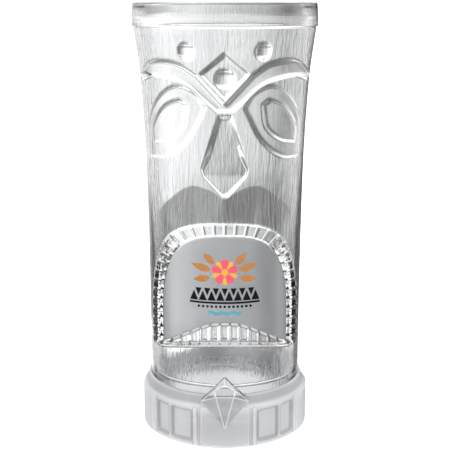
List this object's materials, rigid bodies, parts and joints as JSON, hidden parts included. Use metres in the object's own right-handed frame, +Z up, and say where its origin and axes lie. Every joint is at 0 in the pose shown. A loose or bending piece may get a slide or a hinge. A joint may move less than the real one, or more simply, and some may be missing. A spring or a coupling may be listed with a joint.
{
  "type": "tiki mug",
  "caption": "Clear plastic tiki tumbler with a moulded tiki face, thick drinking rim and a frosted base that holds a battery light module.",
  "frame": {"origin": "centre of the base's foot, on the surface that the mug stands on", "axes": "+Z up, the face looks along -Y, +X to the right when the face is seen from the front"},
  "size_m": [0.0768, 0.0768, 0.18],
  "materials": {
    "clear_cup": "clear moulded plastic, glossy, wood grain in the mould",
    "frosted_base": "translucent frosted plastic",
    "diffuser": "milky diffuser plastic",
    "cover_plastic": "fine spark-eroded texture",
    "screw_steel": "zinc-plated steel",
    "board": "white solder mask on glass-fibre board",
    "led_red_lens": "tinted clear LED package",
    "led_green_lens": "tinted clear LED package",
    "led_blue_lens": "tinted clear LED package",
    "chip_epoxy": "black moulding compound",
    "resistor_body": "film resistor with tinned ends",
    "switch_plastic": "black switch housing",
    "plunger_plastic": "dark grey moulded plastic",
    "button_plastic": "satin grey plastic",
    "cell_steel": "nickel-plated steel can",
    "contact_metal": "nickel-plated spring brass",
    "seal_rubber": "silicone rubber"
  },
  "bodies": {
    "mug": {"cup_vessel": "clear_cup", "base_shell": "frosted_base", "light_diffuser": "diffuser", "bottom_cover": "cover_plastic", "cover_screws": "screw_steel", "circuit_board": "board", "board_screws": "screw_steel", "led_red": "led_red_lens", "led_green": "led_green_lens", "led_blue": "led_blue_lens", "controller_chip": "chip_epoxy", "led_resistors": "resistor_body", "switch_body": "switch_plastic", "coin_cell_upper": "cell_steel", "coin_cell_lower": "cell_steel", "positive_contact": "contact_metal", "negative_contact": "contact_metal", "cap_seal": "seal_rubber"},
    "button": {"push_button": "button_plastic"},
    "plunger": {"switch_plunger": "plunger_plastic"},
    "cap": {"battery_cap": "cover_plastic"}
  },
  "joints": [
    {"name": "button_press", "type": "slide", "parent": "mug", "child": "button", "axis": [0, 0, 1], "range_m": [0, 0.0005], "stiffness_N_per_m": 2500},
    {"name": "plunger_travel", "type": "slide", "parent": "mug", "child": "plunger", "axis": [0, 0, 1], "range_m": [0, 0.0005]},
    {"name": "cap_turn", "type": "hinge", "parent": "mug", "child": "cap", "pos_m": [0, 0.0125, 0.0023], "axis": [0, 0, 1], "range_deg": [0, 45]}
  ],
  "couplings": [
    {"joint": "plunger_travel", "follows": "button_press", "ratio": 1}
  ]
}
